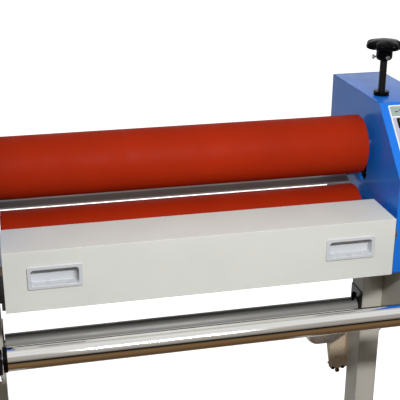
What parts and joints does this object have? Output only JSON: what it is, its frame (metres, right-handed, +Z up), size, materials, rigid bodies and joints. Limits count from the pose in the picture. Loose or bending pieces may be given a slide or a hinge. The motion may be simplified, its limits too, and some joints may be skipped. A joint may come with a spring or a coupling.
{
  "type": "cold roll laminator",
  "caption": "Free-standing cold laminator: driven rollers between side boxes, screw lift handwheels, feed table, supply and take-up shafts on a stand.",
  "frame": {"origin": "on the floor, midway between the two columns and midway along the foot beams", "axes": "+X along the rollers towards the control panel end, -Y towards the operator, +Z up"},
  "size_m": [0.952, 0.626, 1.1674],
  "materials": {
    "blue_enamel": "glossy blue enamel on sheet steel",
    "beige_paint": "satin beige powder coat",
    "white_paint": "satin off-white powder coat",
    "bare_steel": "machined steel",
    "dark_sheet": "dark grey painted sheet with worn edges",
    "grey_sheet": "mid grey painted sheet",
    "chrome_tube": "polished plated tube",
    "silicone": "smooth orange-red silicone",
    "black_gloss": "glossy black moulding",
    "black_matte": "matt black moulding",
    "black_metal": "black painted steel",
    "cast_grey": "grey cast housing",
    "motor_alu": "cast and turned aluminium",
    "panel_film": "printed control panel film",
    "display_red": "dark red display window",
    "circuit_board": "circuit board with cased parts",
    "switch_red": "red rocker"
  },
  "bodies": {
    "machine_frame": {"left_column": "beige_paint", "right_column": "beige_paint", "foot_beams": "beige_paint", "foot_end_caps": "black_matte", "levelling_feet": "black_matte", "lower_crossbeam": "beige_paint", "shaft_arms": "beige_paint", "bottom_tie_plate": "grey_sheet", "shaft_cradles": "black_metal", "stand_bolts": "black_metal", "left_side_plate": "blue_enamel", "right_side_plate": "blue_enamel", "left_side_cover": "blue_enamel", "right_side_cover": "blue_enamel", "cover_screws": "bare_steel", "spindle_collars": "black_gloss", "outfeed_table": "dark_sheet", "table_slides": "bare_steel", "control_panel": "panel_film", "speed_display": "display_red", "power_inlet": "black_matte", "control_board": "circuit_board", "drive_motor": "cast_grey", "lower_bearings": "cast_grey", "drive_chain": "bare_steel", "lift_guides": "bare_steel", "takeup_motor": "motor_alu", "takeup_gearbox": "cast_grey", "chain_case": "beige_paint", "takeup_chain": "bare_steel", "axle_bushes": "black_metal"},
    "upper_carriage": {"bearing_blocks": "black_metal"},
    "upper_roller": {"upper_roller_core": "bare_steel", "upper_roller_sleeve": "silicone"},
    "lower_roller": {"lower_roller_core": "bare_steel", "lower_roller_sleeve": "silicone", "driven_sprocket": "bare_steel"},
    "drive_output": {"motor_sprocket": "bare_steel"},
    "left_lift_screw": {"left_handwheel": "black_gloss", "left_spindle": "black_metal", "left_hub_screws": "bare_steel"},
    "right_lift_screw": {"right_handwheel": "black_gloss", "right_spindle": "black_metal", "right_hub_screws": "bare_steel"},
    "feed_drawer": {"feed_table": "white_paint", "hand_pulls": "chrome_tube", "table_runners": "bare_steel"},
    "supply_shaft": {"supply_tube": "chrome_tube", "supply_end_rings": "black_gloss", "supply_axle": "bare_steel"},
    "left_brake": {"left_brake_screw": "bare_steel"},
    "right_brake": {"right_brake_screw": "bare_steel"},
    "takeup_shaft": {"takeup_tube": "grey_sheet", "takeup_end_plugs": "black_metal", "takeup_axle": "bare_steel"},
    "lock_knob": {"takeup_lock_knob": "black_gloss"},
    "takeup_output": {"output_sprocket": "bare_steel"},
    "direction_rocker": {"direction_switch": "black_gloss"},
    "speed_dial": {"speed_knob": "black_matte"},
    "mains_rocker": {"power_switch": "switch_red"}
  },
  "joints": [
    {"name": "right_handwheel_turn", "type": "hinge", "parent": "upper_carriage", "child": "right_lift_screw", "pos_m": [0.39, 0.0193, 1.1], "axis": [0, 0, 1], "range_deg": [-2574, 0]},
    {"name": "left_handwheel_turn", "type": "hinge", "parent": "upper_carriage", "child": "left_lift_screw", "pos_m": [-0.39, 0.0193, 1.1], "axis": [0, 0, 1], "range_deg": [-2574, 0]},
    {"name": "nip_lift", "type": "slide", "parent": "machine_frame", "child": "upper_carriage", "axis": [0, 0, 1], "range_m": [-0.0286, 0]},
    {"name": "upper_roller_spin", "type": "hinge", "parent": "upper_carriage", "child": "upper_roller", "pos_m": [0, 0.0193, 0.962], "axis": [1, 0, 0], "continuous": true},
    {"name": "lower_roller_spin", "type": "hinge", "parent": "machine_frame", "child": "lower_roller", "pos_m": [0, 0.0193, 0.818], "axis": [1, 0, 0], "continuous": true},
    {"name": "drive_output_spin", "type": "hinge", "parent": "machine_frame", "child": "drive_output", "pos_m": [0.44, -0.08, 0.812], "axis": [1, 0, 0], "continuous": true},
    {"name": "feed_table_slide", "type": "slide", "parent": "machine_frame", "child": "feed_drawer", "axis": [0, -1, 0], "range_m": [0, 0.09]},
    {"name": "supply_shaft_spin", "type": "hinge", "parent": "machine_frame", "child": "supply_shaft", "pos_m": [0, -0.244, 0.722], "axis": [1, 0, 0], "continuous": true},
    {"name": "left_brake_screw_turn", "type": "hinge", "parent": "machine_frame", "child": "left_brake", "pos_m": [-0.3675, -0.244, 0.7], "axis": [0, 0, 1], "range_deg": [-180, 180]},
    {"name": "right_brake_screw_turn", "type": "hinge", "parent": "machine_frame", "child": "right_brake", "pos_m": [0.3675, -0.244, 0.7], "axis": [0, 0, 1], "range_deg": [-180, 180]},
    {"name": "takeup_shaft_spin", "type": "hinge", "parent": "machine_frame", "child": "takeup_shaft", "pos_m": [0, 0, 0.611], "axis": [1, 0, 0], "continuous": true},
    {"name": "lock_knob_turn", "type": "hinge", "parent": "takeup_shaft", "child": "lock_knob", "pos_m": [0.3505, -0.00585, 0.63013], "axis": [0, -0.2924, 0.9563], "range_deg": [-90, 90]},
    {"name": "takeup_output_spin", "type": "hinge", "parent": "machine_frame", "child": "takeup_output", "pos_m": [0.4, 0.062, 0.5326], "axis": [1, 0, 0], "continuous": true},
    {"name": "direction_switch_tilt", "type": "hinge", "parent": "machine_frame", "child": "direction_rocker", "pos_m": [0.418, -0.09165, 0.99759], "axis": [1, 0, 0], "range_deg": [-10, 10]},
    {"name": "speed_knob_turn", "type": "hinge", "parent": "machine_frame", "child": "speed_dial", "pos_m": [0.418, -0.11994, 0.97496], "axis": [0, -0.7071, 0.7071], "range_deg": [-135, 135]},
    {"name": "power_switch_tilt", "type": "hinge", "parent": "machine_frame", "child": "mains_rocker", "pos_m": [0.418, 0.2015, 0.8504], "axis": [1, 0, 0], "range_deg": [-20, 0]}
  ],
  "couplings": [
    {"joint": "right_handwheel_turn", "follows": "nip_lift", "rad_per_m": 1570.8},
    {"joint": "left_handwheel_turn", "follows": "nip_lift", "rad_per_m": 1570.8},
    {"joint": "drive_output_spin", "follows": "lower_roller_spin", "ratio": 2},
    {"joint": "takeup_output_spin", "follows": "takeup_shaft_spin", "ratio": 1.5714}
  ]
}
